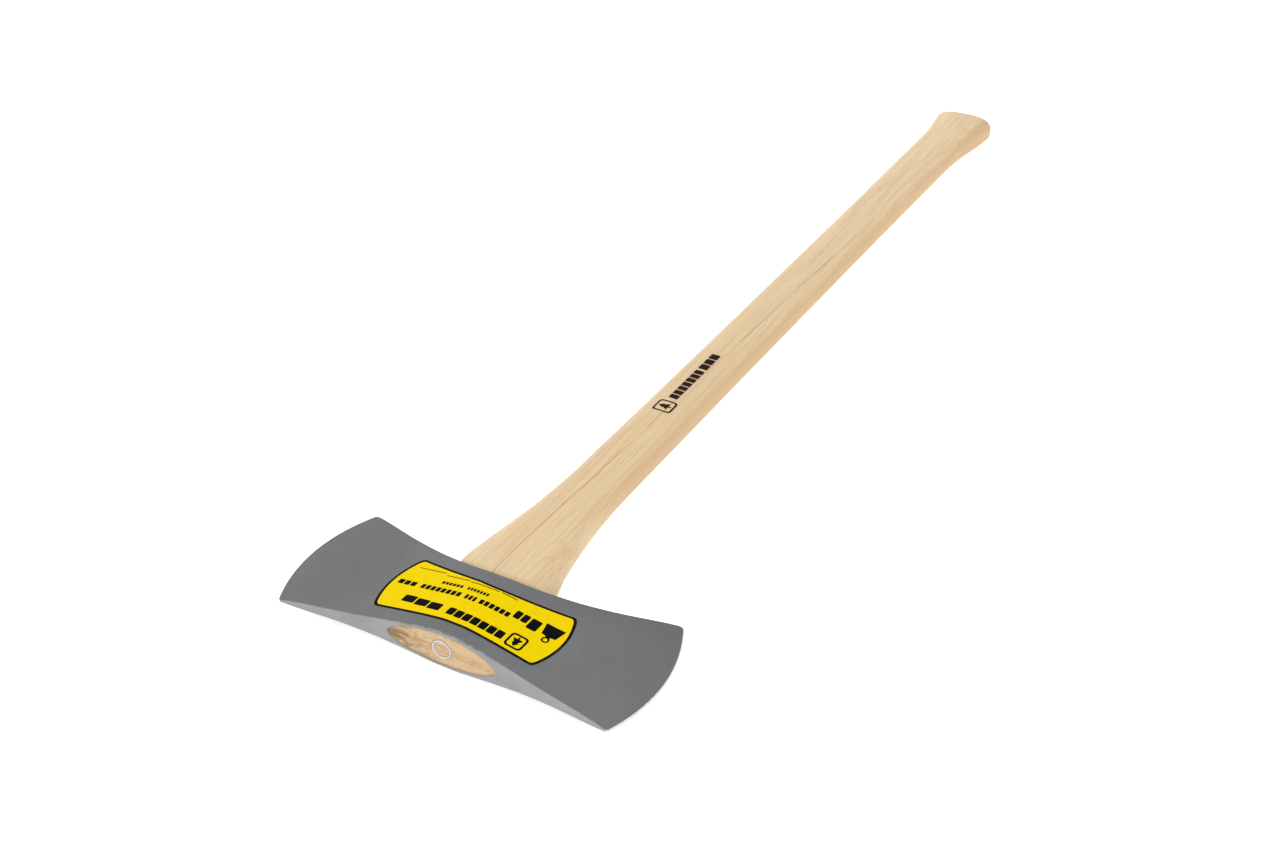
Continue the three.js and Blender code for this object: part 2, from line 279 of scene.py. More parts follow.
class Surface:
    """Collects points in tool axes and faces with a material index, then makes one mesh.

    Each point's mark, from 0 to 1, is kept for the materials as the attribute "mark"."""

    def __init__(self):
        self.points = []
        self.marks = []
        self.faces = []
        self.kinds = []

    def add_point(self, x, y, z, mark=0):
        self.points.append(place(x, y, z))
        self.marks.append(float(mark))
        return len(self.points) - 1

    def add_face(self, corners, kind=0):
        self.faces.append(corners)
        self.kinds.append(kind)

    def add_grid(self, grid, kind=0, kind_at=None):
        """Quads over rows of point numbers."""
        for i in range(len(grid) - 1):
            for j in range(len(grid[i]) - 1):
                corners = (grid[i][j], grid[i + 1][j], grid[i + 1][j + 1], grid[i][j + 1])
                self.add_face(corners, kind_at(i, j) if kind_at else kind)

    def make(self, name, materials, sharp=35):
        mesh = bpy.data.meshes.new(name)
        mesh.from_pydata(self.points, [], self.faces)
        for material in materials:
            mesh.materials.append(material)
        mesh.polygons.foreach_set("material_index", self.kinds)
        mesh.attributes.new("mark", "FLOAT", "POINT").data.foreach_set("value", self.marks)
        built = bmesh.new()
        built.from_mesh(mesh)
        bmesh.ops.remove_doubles(built, verts=built.verts, dist=1e-6)
        bmesh.ops.dissolve_degenerate(built, edges=built.edges, dist=1e-7)
        bmesh.ops.recalc_face_normals(built, faces=built.faces)
        built.to_mesh(mesh)
        built.free()
        mesh.shade_smooth()
        mesh.set_sharp_from_angle(angle=math.radians(sharp))
        return add_object(name, mesh)


def finish_piece(piece, slot, *nodes):
    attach(piece, "root")
    if nodes:
        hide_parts(*nodes)
    return piece


def cut(piece, cutter):
    """Subtracts a closed mesh from a piece and removes the cutter."""
    modifier = piece.modifiers.new("cut", "BOOLEAN")
    modifier.operation = "DIFFERENCE"
    modifier.solver = "EXACT"
    modifier.object = cutter
    bpy.context.view_layer.objects.active = piece
    bpy.ops.object.modifier_apply(modifier=modifier.name)
    bpy.data.objects.remove(cutter)


# ---------------------------------------- material tools


class Nodes:
    """Short helpers to wire one material's nodes."""

    def __init__(self, name):
        self.material = bpy.data.materials.new(name)
        self.material.use_nodes = True
        self.tree = self.material.node_tree
        self.shader = self.tree.nodes["Principled BSDF"]

    def add(self, kind, **settings):
        node = self.tree.nodes.new(kind)
        for key, value in settings.items():
            setattr(node, key, value)
        return node

    def link(self, source, target):
        self.tree.links.new(source, target)

    def set(self, **sockets):
        for key, value in sockets.items():
            self.shader.inputs[key.replace("_", " ")].default_value = value

    def fed(self, kind, sockets, **settings):
        """Adds a node, and links each of the given sockets or sets its value."""
        node = self.add(kind, **settings)
        for key, value in sockets.items():
            if isinstance(value, bpy.types.NodeSocket):
                self.link(value, node.inputs[key])
            else:
                node.inputs[key].default_value = value
        return node

    def spot(self):
        return self.add("ShaderNodeTexCoord").outputs["Object"]

    def place(self, scale=(1, 1, 1), offset=(0, 0, 0), rotate=(0, 0, 0)):
        """Object coordinates in metres, multiplied by scale."""
        sockets = {"Vector": self.spot(), "Scale": scale, "Location": offset, "Rotation": rotate}
        return self.fed("ShaderNodeMapping", sockets).outputs["Vector"]

    def mark(self):
        return self.add("ShaderNodeAttribute", attribute_name="mark").outputs["Fac"]

    def vector(self, operation, *values):
        return self.fed("ShaderNodeVectorMath", dict(enumerate(values)), operation=operation)

    def along(self, direction):
        """Distance along a direction, in metres."""
        return self.vector("DOT_PRODUCT", self.spot(), direction).outputs["Value"]

    def length(self, vector, scale=(1, 1, 1)):
        """Length of a vector multiplied by scale."""
        scaled = self.vector("MULTIPLY", vector, scale).outputs["Vector"]
        return self.vector("LENGTH", scaled).outputs["Value"]

    def noise(self, vector, scale, detail=3, roughness=0.5, distortion=0):
        sockets = {"Vector": vector, "Scale": scale, "Detail": detail}
        sockets.update({"Roughness": roughness, "Distortion": distortion})
        return self.fed("ShaderNodeTexNoise", sockets).outputs["Fac"]

    def fibres(self, squeeze, *settings):
        """Noise drawn out along Y, with the settings of noise."""
        return self.noise(self.place(scale=(1, squeeze, 1)), *settings)

    def math(self, operation, *values):
        return self.fed("ShaderNodeMath", dict(enumerate(values)), operation=operation).outputs[0]

    def times(self, first, second):
        return self.math("MULTIPLY", first, second)

    def swing(self, value, amount):
        """A noise value centred on 0 and scaled."""
        return self.times(self.math("SUBTRACT", value, 0.5), amount)

    def remap(self, value, low, high, to_low=0.0, to_high=1.0):
        sockets = {"Value": value, "From Min": low, "From Max": high, "To Min": to_low, "To Max": to_high}
        return self.fed("ShaderNodeMapRange", sockets, interpolation_type="SMOOTHSTEP").outputs["Result"]

    def mix(self, factor, first, second):
        """Mixes two colours, each a tuple or another node's output."""
        sides = [(*side, 1) if isinstance(side, tuple) else side for side in (first, second)]
        return self.fed("ShaderNodeMix", {0: factor, 6: sides[0], 7: sides[1]}, data_type="RGBA").outputs[2]

    def bump(self, height, distance, strength):
        node = self.fed("ShaderNodeBump", {"Strength": strength, "Distance": distance, "Height": height})
        self.link(node.outputs["Normal"], self.shader.inputs["Normal"])

    def colour(self, value):
        self.link(value, self.shader.inputs["Base Color"])

    def rough(self, value):
        self.link(value, self.shader.inputs["Roughness"])


# ---------------------------------------- materials


def forged_steel():
    """The head: matt grey coating on the cheeks, thinner and lighter on the belt-ground sides.

    A little painted shade darkens the coating towards the handle side of the right bit.
    The mark is 1 on the sides and fades to 0 round the rims, where the coating is rubbed."""
    m = Nodes("forged_steel")
    spot = m.place()
    clouds = m.noise(spot, 22, 3)
    grain = m.noise(spot, 420, 3, 0.6)
    speckle = m.noise(spot, 1500, 2, 0.7)
    coat = m.mix(m.remap(clouds, 0.3, 0.7), (0.108, 0.11, 0.113), (0.124, 0.126, 0.13))
    coat = m.mix(m.remap(speckle, 0.56, 0.74, 0, 0.3), coat, (0.185, 0.187, 0.191))
    coat = m.mix(m.remap(speckle, 0.44, 0.28, 0, 0.3), coat, (0.072, 0.074, 0.078))
    # Painted shade: the coat is darkened towards the handle side, behind a wobbling edge, to stand in for
    # shade there.
    drift = m.swing(clouds, 0.03)
    painted_far_shade = m.remap(m.math("ADD", m.along((0.12, 1, 0)), drift), -0.395, -0.35, 0, 0.5)
    coat = m.mix(painted_far_shade, coat, (0.074, 0.076, 0.08))
    marks = m.noise(m.place(scale=(60, 1, 1500)), 1.0, 4, 0.65)
    patches = m.noise(spot, 45, 4)
    steel = m.mix(m.remap(patches, 0.3, 0.7), (0.21, 0.214, 0.217), (0.254, 0.258, 0.262))
    steel = m.mix(m.remap(marks, 0.35, 0.7, 0, 0.35), steel, (0.17, 0.174, 0.178))
    steel = m.mix(m.remap(speckle, 0.56, 0.74, 0, 0.3), steel, (0.31, 0.314, 0.318))
    side = m.mark()
    ragged = m.math("ADD", side, m.swing(grain, 0.25))
    base = m.mix(m.remap(ragged, 0.25, 0.95), coat, steel)
    rubbed = m.times(m.remap(side, 0.0, 0.5), m.remap(side, 1.0, 0.5))
    rubbed = m.times(rubbed, m.remap(grain, 0.4, 0.62, 0, 0.5))
    m.colour(m.mix(rubbed, base, (0.29, 0.294, 0.298)))
    m.rough(m.remap(grain, 0.3, 0.7, 0.5, 0.62))
    m.set(Metallic=0.15, Specular_IOR_Level=0.35)
    relief = m.mix(side, grain, marks)
    m.bump(relief, 0.00004, 0.5)
    return m.material


def ground_edge():
    """Bare steel of the sharpened edge, scratched square to the edge by the stone."""
    m = Nodes("ground_edge")
    scratches = m.noise(m.place(scale=(40, 1600, 40)), 1.0, 4, 0.7)
    haze = m.noise(m.place(), 120, 2)
    base = m.mix(m.remap(scratches, 0.3, 0.7), (0.5, 0.5, 0.5), (0.64, 0.64, 0.64))
    m.colour(m.mix(m.remap(haze, 0.4, 0.7, 0, 0.3), base, (0.45, 0.45, 0.46)))
    m.rough(m.remap(scratches, 0.3, 0.7, 0.35, 0.5))
    m.set(Metallic=0.4)
    m.bump(scratches, 0.00003, 0.5)
    return m.material


def growth_rings(m, figure):
    """Distance from the heart of the tree in ring widths.

    The heart runs below the right side of the handle and slants away from it, which draws
    pointed arches on the flare of the neck and long lines on the grip."""
    bend = m.noise(m.place(scale=(1, 0.16, 1), offset=(0.3, 0.1, 0.7)), 7, 2)
    ripple = m.noise(m.place(scale=(1, 0.3, 1), offset=(0.1, 0.6, 0.2)), 60, 2)
    lean = m.place(offset=(-0.022, 0, 0.068), rotate=(0.02, 0, 0))
    length = m.length(lean, (1, 0, 1))
    wander = m.swing(bend, 0.01)
    wobble = m.swing(ripple, 0.0016)
    distance = m.math("ADD", m.math("ADD", length, wander), wobble)
    return m.times(m.math("ADD", distance, figure), 360)


def shoulder_figure(m):
    """Swelling of the growth rings that draws nested arches where the shoulder flares, in metres."""
    middle = place(FIGURE_X, FIGURE_Y, 0)
    scale = (1 / (FIGURE_HALF_WIDTH * MM), 1 / (FIGURE_HALF_LENGTH * MM), 0)
    spot = m.place(scale=scale, offset=(-middle.x * scale[0], -middle.y * scale[1], 0))
    return m.remap(m.length(spot), 0.0, 1.0, FIGURE_HEIGHT * MM, 0)


def dark_line(m, direction, distance, half_width):
    """One thin growth line across the wood, where a plane comes out at the surface."""
    wander = m.noise(m.place(scale=(1, 0.12, 1), offset=(0.7, 0.2, 0.1)), 60, 2)
    shift = m.swing(wander, 0.004)
    away = m.math("ABSOLUTE", m.math("ADD", m.math("SUBTRACT", m.along(direction), distance), shift))
    broken = m.fibres(0.25, 120, 2)
    return m.times(m.remap(away, half_width, 0.0), m.remap(broken, 0.3, 0.6, 0.35, 1.0))


def hickory():
    """Pale shaved hickory: soft ring lines, open pores, fine fibre, one darker growth line, and a
    darker, redder band of painted shade down the lower right side."""
    m = Nodes("hickory")
    figure = shoulder_figure(m)
    rings = growth_rings(m, figure)
    phase = m.math("FRACT", rings)
    vary = m.add("ShaderNodeTexWhiteNoise", noise_dimensions="1D")
    m.link(m.math("FLOOR", rings), vary.inputs["W"])
    early = m.times(m.remap(phase, 0.0, 0.4, 1, 0), m.remap(phase, 0.0, 0.05))
    early = m.times(early, m.remap(vary.outputs["Value"], 0.0, 1.0, 0.2, 1.0))
    fibre = m.fibres(0.018, 800, 3, 0.6)
    threads = m.fibres(0.03, 420, 3, 0.6)
    pores = m.fibres(0.045, 1500, 2, 0.5)
    clouds = m.fibres(0.12, 26, 3)
    base = m.mix(m.remap(clouds, 0.3, 0.7), (0.578, 0.427, 0.243), (0.62, 0.472, 0.286))
    # Painted shade: a darker, redder band down the lower right side of the handle, past the shoulder, stands
    # in for the shade on that side.
    straying = m.swing(m.fibres(0.1, 50, 2), 0.006)
    across = m.math("ADD", m.along((1, -HANG_SLOPE, -0.8)), straying)
    past_shoulder = m.remap(m.along((0, 1, 0)), -0.33, -0.24, 0.1, 1.0)
    painted_side_shade = m.times(m.remap(across, -0.003, 0.006), past_shoulder)
    base = m.mix(m.times(painted_side_shade, 0.85), base, (0.48, 0.31, 0.15))
    contrast = m.remap(figure, 0.0, 0.6 * FIGURE_HEIGHT * MM, 0.22, 0.6)
    base = m.mix(m.times(early, contrast), base, (0.44, 0.296, 0.146))
    base = m.mix(m.remap(threads, 0.42, 0.7, 0, 0.3), base, (0.49, 0.345, 0.186))
    base = m.mix(m.remap(fibre, 0.4, 0.68, 0, 0.5), base, (0.46, 0.32, 0.17))
    line = dark_line(m, (1, -0.045, 0.08), 0.0118, 0.0008)
    line = m.times(line, m.remap(m.along((0, 1, 0)), 0.1, 0.28, 0.75, 0.0))
    base = m.mix(line, base, (0.32, 0.2, 0.096))
    pore = m.times(m.remap(pores, 0.6, 0.72), m.remap(early, 0.0, 0.5, 0.35, 1.0))
    base = m.mix(m.times(pore, 0.5), base, (0.336, 0.216, 0.104))
    rubbed = m.times(m.mark(), m.remap(threads, 0.35, 0.6, 0.2, 0.6))
    m.colour(m.mix(rubbed, base, (0.44, 0.296, 0.152)))
    m.rough(m.remap(fibre, 0.3, 0.7, 0.44, 0.58))
    m.set(Specular_IOR_Level=0.35)
    relief = m.math("SUBTRACT", m.times(fibre, 0.4), pore)
    m.bump(relief, 0.00006, 0.5)
    return m.material


def shade(colour, share):
    return tuple(channel * share for channel in colour)


def end_grain(name, light, dark, torn_share):
    """Sawn end grain: ring arcs, pores, and torn darker fibre, mostly towards the left bit."""
    m = Nodes(name)
    rings = growth_rings(m, 0.0)
    early = m.remap(m.math("FRACT", rings), 0.0, 0.4, 1, 0)
    pores = m.fibres(0.3, 1900, 2, 0.5)
    torn = m.noise(m.place(scale=(0.4, 1, 1)), 330, 4, 0.65, 0.5)
    fine = m.noise(m.place(scale=(0.6, 1, 1)), 900, 3, 0.6)
    lean = m.remap(m.along((1, 0, 0.6)), 0.004, -0.03)
    base = m.mix(m.times(early, 0.3), light, dark)
    base = m.mix(m.remap(fine, 0.4, 0.7, 0, 0.35), base, dark)
    patch = m.remap(m.math("ADD", torn, m.times(lean, 0.14)), 0.5, 0.66)
    patch = m.times(patch, m.remap(lean, 0.0, 1.0, 0.3 * torn_share, torn_share))
    base = m.mix(patch, base, shade(dark, 0.5))
    base = m.mix(m.remap(pores, 0.6, 0.7, 0, 0.6), base, shade(dark, 0.4))
    m.colour(m.mix(m.times(m.mark(), 0.6), base, shade(dark, 0.7)))
    m.rough(m.remap(torn, 0.3, 0.7, 0.6, 0.85))
    m.set(Specular_IOR_Level=0.3)
    m.bump(m.math("SUBTRACT", fine, m.times(patch, 1.5)), 0.0002, 0.6)
    return m.material


def ring_steel():
    """Bright drawn tube, dinged by the hammer that drove it, and burnished along its rim."""
    m = Nodes("ring_steel")
    dents = m.noise(m.place(), 420, 3, 0.6)
    drawn = m.fibres(0.04, 1500, 3)
    base = m.mix(m.remap(dents, 0.35, 0.7), (0.32, 0.32, 0.32), (0.46, 0.46, 0.455))
    base = m.mix(m.remap(drawn, 0.5, 0.75, 0, 0.3), base, (0.4, 0.4, 0.41))
    m.colour(m.mix(m.times(m.mark(), 0.4), base, (0.7, 0.7, 0.7)))
    m.rough(m.remap(dents, 0.3, 0.7, 0.3, 0.5))
    m.set(Metallic=0.75)
    m.bump(dents, 0.0002, 0.5)
    return m.material


def printed_vinyl(name, light, dark, worn):
    """Printed label film: even ink with a faint mottle, a slight ripple, and rubbed edges."""
    m = Nodes(name)
    mottle = m.noise(m.place(), 260, 3, 0.6)
    ripple = m.noise(m.place(), 60, 2)
    base = m.mix(m.remap(mottle, 0.3, 0.7), light, dark)
    m.colour(m.mix(m.times(m.mark(), m.remap(mottle, 0.45, 0.65, 0, 0.5)), base, worn))
    m.rough(m.remap(mottle, 0.3, 0.7, 0.5, 0.6))
    m.set(Specular_IOR_Level=0.02)
    m.bump(ripple, 0.0001, 0.4)
    return m.material


def stamp_ink():
    """Dark brown ink that has taken unevenly on the grain and thins at its edges."""
    m = Nodes("stamp_ink")
    fibre = m.fibres(0.05, 1500, 3, 0.6)
    base = m.mix(m.remap(fibre, 0.4, 0.75), (0.008, 0.005, 0.003), (0.03, 0.018, 0.008))
    m.colour(m.mix(m.times(m.mark(), m.remap(fibre, 0.4, 0.6, 0, 0.2)), base, (0.2, 0.13, 0.06)))
    m.rough(m.remap(fibre, 0.3, 0.7, 0.5, 0.65))
    m.set(Specular_IOR_Level=0.03)
    m.bump(fibre, 0.00005, 0.4)
    return m.material


# ---------------------------------------- head

cheek_at = profile(CHEEK)
eye_length_at = profile(EYE_LENGTH)
eye_thickness_at = profile(EYE_THICKNESS)


def waist(x, bend):
    """Hyperbola from 0 in the middle to 1 at the corners: round at first, then nearly straight."""
    return (math.hypot(x, bend) - bend) / (math.hypot(HEAD_HALF, bend) - bend)


def near_rise(x):
    return NEAR_FLARE * waist(x, NEAR_BEND)


def far_rise(x):
    return FAR_FLARE * waist(x, FAR_BEND)


def bulge_at(v):
    """How far the cutting edge stands past the straight head, rounded in at its two corners."""
    radius = NEAR_CORNER_ROUND if v < 0.5 else FAR_CORNER_ROUND
    to_centre = max(0, radius - min(v, 1 - v) * BIT_HEIGHT)
    rounding = radius - math.sqrt(radius ** 2 - to_centre ** 2)
    return BIT_BULGE * (1 - (2 * v - 1) ** 2) - rounding


def across(u, v):
    """X of the head's surface at fraction u (-1 to 1) from bit to bit, on row v."""
    bulge = bulge_at(v) * abs(u) ** BULGE_POWER
    return u * blend(NEAR_HALF, FAR_HALF, v) + bulge * math.copysign(1, u)


def share_at(x, v):
    """The fraction u whose X is x, on row v."""
    half = blend(NEAR_HALF, FAR_HALF, v)
    u = max(-1, min(1, x / half))
    for _ in range(6):
        slope = half + BULGE_POWER * bulge_at(v) * abs(u) ** (BULGE_POWER - 1)
        u -= (across(u, v) - x) / slope
    return u


def head_low(u):
    return -near_rise(u * HEAD_HALF)


def head_high(u):
    return EYE_HEIGHT + far_rise(u * HEAD_HALF)


def eye_half_thickness(share, depth):
    return eye_thickness_at(depth) * max(0, 1 - share * share) ** (EYE_POWER / 2)


EYE_STEPS = 16
FLANK_STEPS = 34
GROUND_STEPS = 3
GROUND_FROM = EYE_STEPS + FLANK_STEPS
COLUMN_COUNT = GROUND_FROM + GROUND_STEPS
CHEEK_ROWS = 26
WALL_ROWS = 3
ARC_STEPS = 5


def eye_share_at(i):
    """How far along the half eye column i stands, closer together towards its end."""
    return math.sin(math.pi / 2 * min(i, EYE_STEPS) / EYE_STEPS)


def column_share(i, v, outward):
    """Fraction u of column i on row v: over the eye, along the flank, then the ground strip."""
    half_eye = blend(eye_length_at(0), eye_length_at(EYE_HEIGHT), v)
    if i <= EYE_STEPS:
        return share_at(EYE_X + outward * half_eye * eye_share_at(i), v)
    edge = across(outward, v)
    lean = 4 * BIT_BULGE * (2 * v - 1) / BIT_HEIGHT
    strip = outward * GROUND_WIDTH * math.sqrt(1 + lean * lean)
    if i <= GROUND_FROM:
        tip = share_at(EYE_X + outward * half_eye, v)
        return blend(tip, share_at(edge - strip, v), (i - EYE_STEPS) / FLANK_STEPS)
    return share_at(edge - strip * (1 - (i - GROUND_FROM) / GROUND_STEPS), v)


def head_half_thickness(i, u):
    """Half thickness on column i: the cheek, and the bevel of the ground edge past it."""
    t = max(0, (i - GROUND_FROM) / GROUND_STEPS)
    return blend(cheek_at(abs(u)), EDGE_HALF_THICKNESS, t)


def head_column(i, outward):
    """Points of half a section of the head on column i, from eye to wall to cheek to wall to eye.

    Each is (u, v, extra depth, z, mark), with the mark 1 on the walls."""
    sides = []
    margins = []
    for v, depth, inward in ((0, 0, 1), (1, EYE_HEIGHT, -1)):
        u = column_share(i, v, outward)
        top = head_half_thickness(i, u)
        hole = eye_half_thickness(eye_share_at(i), depth)
        chamfer = EYE_CHAMFER * smooth_step(0, 1.5, hole)
        radius = blend(RIM_AT_EYE, RIM_AT_BITS, smooth_step(0, RIM_EVEN_FROM, abs(u)))
        radius = min(radius, 0.6 * top)
        wall_top = top - radius
        side = [(u, v, inward * chamfer, hole, 1)]
        side += [(u, v, 0, z, 1) for z in spread(min(hole + chamfer, wall_top), wall_top, WALL_ROWS)]
        for k in range(1, ARC_STEPS + 1):
            turn = math.pi / 2 * k / ARC_STEPS
            drop = radius * (1 - math.cos(turn))
            side.append((u, v, inward * drop, wall_top + radius * math.sin(turn), 1 - k / ARC_STEPS))
        sides.append(side)
        margins.append(radius / (head_high(u) - head_low(u)))
    middle = []
    for k in range(1, CHEEK_ROWS):
        share = (1 - math.cos(math.pi * k / CHEEK_ROWS)) / 2
        v = blend(margins[0], 1 - margins[1], share)
        u = column_share(i, v, outward)
        middle.append((u, v, 0, head_half_thickness(i, u), 0))
    return sides[0] + middle + sides[1][::-1]


def forge_wave(x, y):
    """Very slight unevenness of the forged and belt-ground faces, mm."""
    return 0.07 * noise.noise(Vector((x / 28, y / 28, 3.1)))


def make_head():
    surface = Surface()
    quarters = {}
    for side in (1, -1):
        for outward in (1, -1):
            grid = []
            for i in range(COLUMN_COUNT + 1):
                row = []
                for u, v, inward, z, mark in head_column(i, outward):
                    x = across(u, v)
                    y = blend(head_low(u), head_high(u), v) + inward
                    lift = abs(forge_wave(x, y)) * smooth_step(0.5, 3, z) if 0 < v < 1 else 0
                    row.append(surface.add_point(x, y, side * (z - lift), mark))
                grid.append(row)
            quarters[side, outward] = grid
            surface.add_grid(grid, kind_at=lambda i, j: int(i >= GROUND_FROM))
    for outward in (1, -1):
        surface.add_grid([quarters[1, outward][-1], quarters[-1, outward][-1]], kind=1)
    add_eye_wall(surface, quarters)
    head = surface.make("head_body", [forged_steel(), ground_edge()], sharp=30)
    return finish_piece(head, "head_paint", "axe_head")


def add_eye_wall(surface, quarters):
    """Joins the two mouths of the eye along its waisted inside wall."""
    depths = spread(0, EYE_HEIGHT, 10)[1:-1]
    for (side, outward), grid in quarters.items():
        rows = []
        for i in range(EYE_STEPS + 1):
            share = eye_share_at(i)
            row = [grid[i][0]]
            for depth in depths:
                x = EYE_X + outward * eye_length_at(depth) * share
                row.append(surface.add_point(x, depth, side * eye_half_thickness(share, depth), 1))
            row.append(grid[i][-1])
            rows.append(row)
        surface.add_grid(rows)


make_head()

# ---------------------------------------- handle

body_width_at = profile(BODY_WIDTH)
body_thickness_at = profile(BODY_THICKNESS)
SECTION_POINTS = 96
SHAVED_WAVE = 0.003
CAP_STEPS = 9
ROUNDING_STEPS = 6


def section(centre, half_width, half_thickness, power_x, power_z):
    """Points (x, z) round an oval section."""
    points = []
    for k in range(SECTION_POINTS):
        angle = 2 * math.pi * k / SECTION_POINTS
        x = centre + half_width * signed_power(math.cos(angle), power_x)
        points.append((x, half_thickness * signed_power(math.sin(angle), power_z)))
    return points


def centre_at(y):
    """Middle of the handle's section: in line with the eye, then on the line of the hang."""
    hung = HANG_SLOPE * (y - HANG_CROSSING) + SWELL_SHIFT * smooth_step(SWELL_START, SWELL_END, y)
    return blend(EYE_X, hung, smooth_step(HANG_START, HANG_END, y))


def tongue_ring(depth):
    near_share = 1 - smooth_step(0, TOP_CURVE_DEPTH, depth)
    far_share = smooth_step(SHOULDER_CURVE_DEPTH, LAST_TONGUE_DEPTH, depth)
    half_length = eye_length_at(depth) - TONGUE_FIT
    oval = section(EYE_X, half_length, eye_thickness_at(depth) - TONGUE_FIT, 1, EYE_POWER)
    return [(x, depth + far_share * far_rise(x) - near_share * near_rise(x), z) for x, z in oval]


def body_ring(y, inset=0):
    straighten = 1 - smooth_step(BODY_START, BODY_START + NECK_LENGTH, y)
    power = blend(BODY_POWER, BUTT_POWER, smooth_step(SWELL_START, SWELL_END, y))
    power_z = blend(power, 1, straighten)
    centre = centre_at(y)
    oval = section(0, body_width_at(y) - inset, body_thickness_at(y) - inset, power, power_z)
    points = []
    for x, z in oval:
        wave = 1 + SHAVED_WAVE * (noise.noise(Vector((x / 30, y / 60, z / 30))) - 1)
        points.append((centre + x * wave, y + straighten * far_rise(centre + x), z * wave))
    return points


def ring_middle(ring):
    """Y of the ring where it crosses the middle of the section."""
    return min(ring, key=lambda point: abs(point[0] - EYE_X))[1]


def cap_rings(ring, relief):
    """Rings that close an end, shrinking to its middle, each lifted along Y by a relief."""
    middle = sum(point[0] for point in ring) / len(ring)
    level = ring_middle(ring)
    rings = []
    for step in range(1, CAP_STEPS):
        share = 1 - step / CAP_STEPS
        rings.append([(blend(middle, x, share),
                       blend(level, y, share) + relief((x - middle) * share, z * share),
                       z * share) for x, y, z in ring])
    return rings


def sawn_relief(x, z):
    """Torn fibre on the tongue's end, mm."""
    return 0.16 * noise.noise(Vector((x / 2.2, z / 1.1, 0.4)))


def butt_relief(x, z):
    """Slight crown and sander marks on the butt, mm."""
    crown = 0.35 * (1 - (x / 30) ** 2) * (1 - (z / 15) ** 2)
    return 0.04 * noise.noise(Vector((x / 3, z / 3, 5.2))) - 0.4 + crown


def loft(surface, rings, kind_at=lambda r: 0, mark_at=lambda r: 0):
    """Closes a tube of rings with a small fan at each end. kind_at gives a ring's material."""
    numbers = [[surface.add_point(*point, mark_at(r)) for point in ring] for r, ring in enumerate(rings)]
    for r, (this, following) in enumerate(zip(numbers, numbers[1:])):
        for k in range(len(this)):
            nxt = (k + 1) % len(this)
            surface.add_face((this[k], this[nxt], following[nxt], following[k]), kind_at(r))
    for r in (0, len(rings) - 1):
        count = len(rings[r])
        ring = numbers[r]
        centre = [sum(point[axis] for point in rings[r]) / count for axis in range(3)]
        hub = surface.add_point(*centre, mark_at(r))
        for k in range(count):
            surface.add_face((ring[k], ring[(k + 1) % count], hub), kind_at(r))


def kerf_half_at(depth):
    return blend(KERF_TOP, KERF_BOTTOM, depth / KERF_DEPTH)


def kerf_cutter():
    surface = Surface()
    left = EYE_X - eye_length_at(0) - CUT_OVERRUN
    right = EYE_X + eye_length_at(0) + CUT_OVERRUN
    corners = []
    for y in (-CUT_OVERRUN, KERF_DEPTH):
        half = kerf_half_at(y)
        corners.append([(left, y, -half), (right, y, -half), (right, y, half), (left, y, half)])
    loft(surface, corners)
    return surface.make("kerf_cutter", [])


def tube_outline(outer, inner, top, bottom, edge, rounding=0):
    """Closed outline (radius, y) of a tube wall whose far end is sharpened."""
    middle = (outer + inner) / 2
    taper = bottom - RING_TAPER
    return [(inner + rounding, top), (outer - rounding, top), (outer, top + rounding), (outer, taper),
            (middle + edge, bottom), (middle - edge, bottom), (inner, taper), (inner, top + rounding)]


def sweep_tube(surface, outline, wobble=lambda angle, y: 0, mark_at=lambda j: 0):
    """Turns an outline of (radius, y) round the middle of the eye."""
    numbers = []
    for k in range(TUBE_STEPS):
        angle = 2 * math.pi * k / TUBE_STEPS
        row = []
        for j, (radius, y) in enumerate(outline):
            shift = wobble(angle, y)
            x = EYE_X + (radius + shift) * math.cos(angle)
            row.append(surface.add_point(x, y + shift, (radius + shift) * math.sin(angle), mark_at(j)))
        numbers.append(row)
    for k in range(TUBE_STEPS):
        this, following = numbers[k], numbers[(k + 1) % TUBE_STEPS]
        for j in range(len(outline)):
            nxt = (j + 1) % len(outline)
            surface.add_face((this[j], following[j], following[nxt], this[nxt]))


def groove_cutter():
    surface = Surface()
    inner = RING_OUTER - RING_WALL - WEDGE_FIT
    bottom = RING_DEPTH + WEDGE_FIT
    outline = tube_outline(RING_OUTER + WEDGE_FIT, inner, -CUT_OVERRUN, bottom, RING_EDGE + WEDGE_FIT)
    corners = [outline[j] for j in (0, 1, 3, 4, 5, 6)]
    sweep_tube(surface, corners)
    return surface.make("groove_cutter", [])


